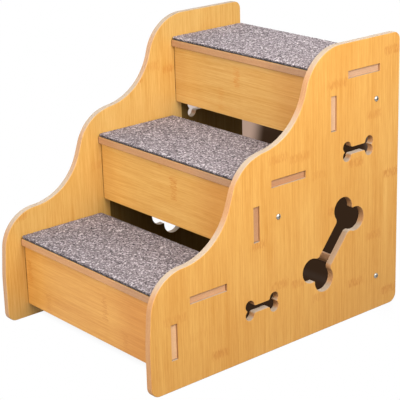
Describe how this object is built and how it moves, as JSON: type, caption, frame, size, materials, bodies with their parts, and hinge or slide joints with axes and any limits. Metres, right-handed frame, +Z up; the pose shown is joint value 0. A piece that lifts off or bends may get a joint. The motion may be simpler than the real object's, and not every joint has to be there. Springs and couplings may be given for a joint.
{
  "type": "pet stairs",
  "caption": "Bamboo-board pet stairs: carpeted treads and short risers tabbed into wavy side panels with bone-shaped cut-outs, tied by dowel rails, open at the back.",
  "frame": {"origin": "on the floor, at the middle of the bounding box's width and depth", "axes": "+Z up, +Y from the lowest step to the open back, X across the treads"},
  "size_m": [0.4066, 0.539, 0.4752],
  "materials": {
    "bamboo_board": "clear satin lacquer over laminated bamboo strips, with raw pinkish edges",
    "carpet": "short mottled grey loop pile",
    "hook_and_loop": "black woven tape",
    "dowel_wood": "sanded pale wood",
    "screw_steel": "zinc-plated"
  },
  "bodies": {
    "root": {"left_side_panel": "bamboo_board", "right_side_panel": "bamboo_board", "lower_tread": "bamboo_board", "lower_riser": "bamboo_board", "lower_carpet": "carpet", "lower_front_strip": "hook_and_loop", "lower_back_strip": "hook_and_loop", "middle_tread": "bamboo_board", "middle_riser": "bamboo_board", "middle_carpet": "carpet", "middle_front_strip": "hook_and_loop", "middle_back_strip": "hook_and_loop", "upper_tread": "bamboo_board", "upper_riser": "bamboo_board", "upper_carpet": "carpet", "upper_front_strip": "hook_and_loop", "upper_back_strip": "hook_and_loop", "lower_back_rail": "dowel_wood", "left_lower_back_rail_screw": "screw_steel", "right_lower_back_rail_screw": "screw_steel", "middle_rail": "dowel_wood", "left_middle_rail_screw": "screw_steel", "right_middle_rail_screw": "screw_steel", "upper_back_rail": "dowel_wood", "left_upper_back_rail_screw": "screw_steel", "right_upper_back_rail_screw": "screw_steel"}
  },
  "joints": []
}
